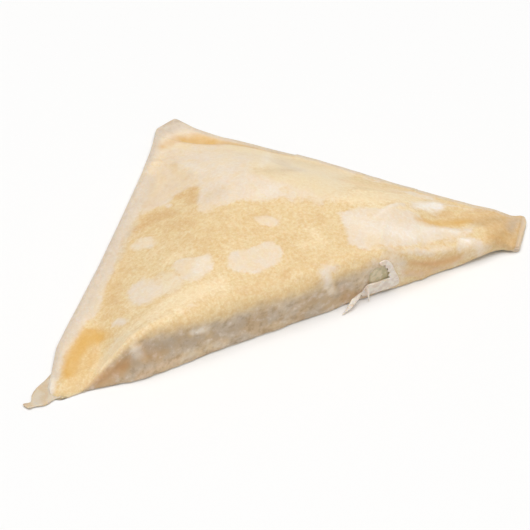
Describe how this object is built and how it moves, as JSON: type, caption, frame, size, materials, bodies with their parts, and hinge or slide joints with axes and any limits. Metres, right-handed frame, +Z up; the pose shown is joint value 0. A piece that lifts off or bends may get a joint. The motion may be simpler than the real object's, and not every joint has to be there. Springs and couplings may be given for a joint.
{
  "type": "spanakopita triangle",
  "caption": "Flat triangular parcel of layered filo dough, flag-folded round a spinach and cheese filling that shows at a small tear in its long side.",
  "frame": {"origin": "centre of the bounding box at table level, under the flat underside", "axes": "+X along the long folded side towards the cut hem, +Y from the long side towards the apex, +Z up out of the filled top"},
  "size_m": [0.1698, 0.0948, 0.0167],
  "materials": {
    "filo_dough": "dry to lightly buttered layered dough, satin",
    "spinach_cheese_filling": "moist crumbly filling, satin"
  },
  "bodies": {
    "root": {"filo_pastry": "filo_dough", "filling": "spinach_cheese_filling"}
  },
  "joints": []
}
